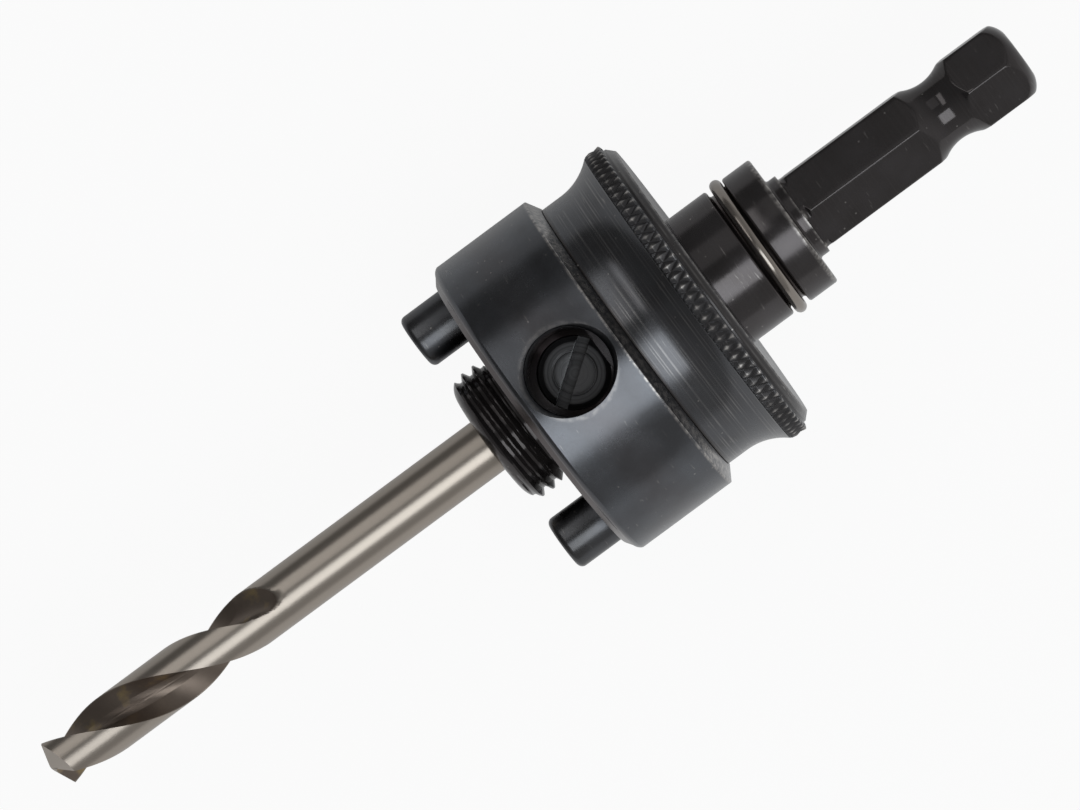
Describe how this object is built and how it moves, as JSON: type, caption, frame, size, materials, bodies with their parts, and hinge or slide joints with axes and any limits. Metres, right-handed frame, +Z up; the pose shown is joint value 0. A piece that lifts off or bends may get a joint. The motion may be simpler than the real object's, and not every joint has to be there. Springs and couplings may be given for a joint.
{
  "type": "hole saw arbor",
  "caption": "Hole saw arbor with a threaded nose, a spring-loaded drive collar on a knurled pull sleeve, a twist pilot drill and a hex shank.",
  "frame": {"origin": "on the arbor's axis, at the face of the boss that a hole saw seats on", "axes": "+X along the axis towards the hex shank, +Z up through the slotted set screw, +Y across through one drive pin"},
  "size_m": [0.13, 0.0378, 0.0378],
  "materials": {
    "arbor_steel": "turned and milled steel, black oxide, light oil",
    "collar_steel": "turned steel, black oxide, semi-gloss, edges worn to grey",
    "pin_steel": "ground steel pin, black oxide",
    "screw_steel": "turned steel set screw, thin black oxide",
    "drill_steel": "ground high speed steel, flutes darkened by heat treatment",
    "ring_steel": "bright stainless spring wire",
    "spring_steel": "drawn spring steel, plain"
  },
  "bodies": {
    "arbor": {"arbor_body": "arbor_steel", "pilot_drill": "drill_steel", "pilot_set_screw": "screw_steel", "spring_washer": "spring_steel", "inner_snap_ring": "spring_steel", "stop_ring": "ring_steel", "return_spring": "spring_steel"},
    "collar": {"drive_collar": "collar_steel", "drive_pin_left": "pin_steel", "drive_pin_right": "pin_steel", "pull_sleeve": "collar_steel"}
  },
  "joints": [
    {"name": "collar_slide", "type": "slide", "parent": "arbor", "child": "collar", "axis": [1, 0, 0], "range_m": [0, 0.0054], "stiffness_N_per_m": 1500, "springref_m": -0.003, "deforming": ["return_spring"]}
  ]
}
